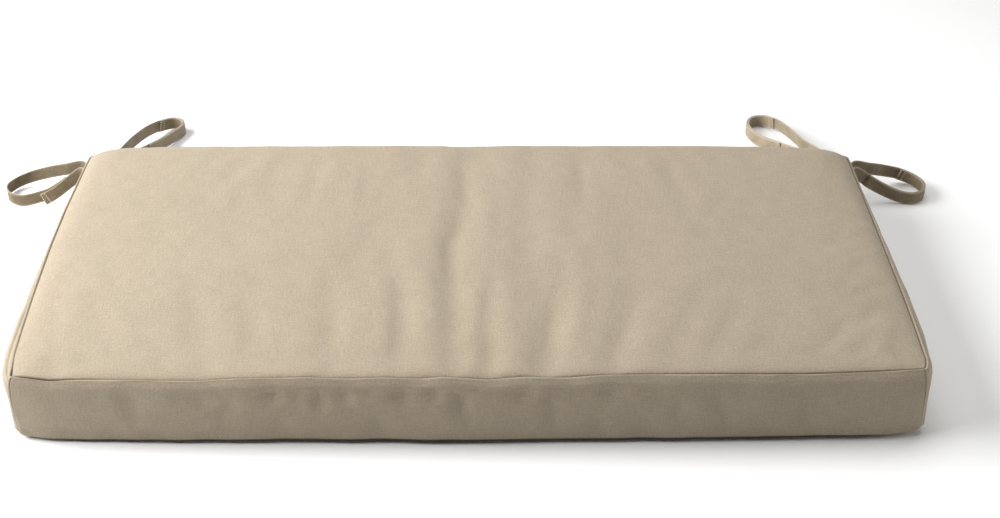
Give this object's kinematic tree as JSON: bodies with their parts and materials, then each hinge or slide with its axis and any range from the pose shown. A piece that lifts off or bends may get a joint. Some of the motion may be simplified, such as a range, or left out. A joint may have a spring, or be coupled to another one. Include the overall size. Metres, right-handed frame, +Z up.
{
  "type": "bench_cushion",
  "caption": "Long rectangular box-edge bench cushion in plain beige canvas, softly crowned, with cloth tie loops at both back corners",
  "frame": {"origin": "middle of the flat underside, halfway between the two ends and halfway between the front and back bottom seams", "axes": "+X along the length towards the right end as seen from the front, +Y from the front edge to the back edge where the ties are, +Z up out of the crowned top panel"},
  "size_m": [1.4359, 0.7828, 0.1114],
  "materials": {
    "cover": "plain woven beige canvas, matt, filled and softly padded",
    "strap": "the same plain canvas folded to a flat strap, matt"
  },
  "bodies": {
    "root": {"cushion": "cover", "side_tie_left_long": "strap", "side_tie_left_short": "strap", "side_tie_right_long": "strap", "side_tie_right_short": "strap", "back_tie_left_long": "strap", "back_tie_left_short": "strap", "back_tie_right_long": "strap", "back_tie_right_short": "strap"}
  },
  "joints": []
}
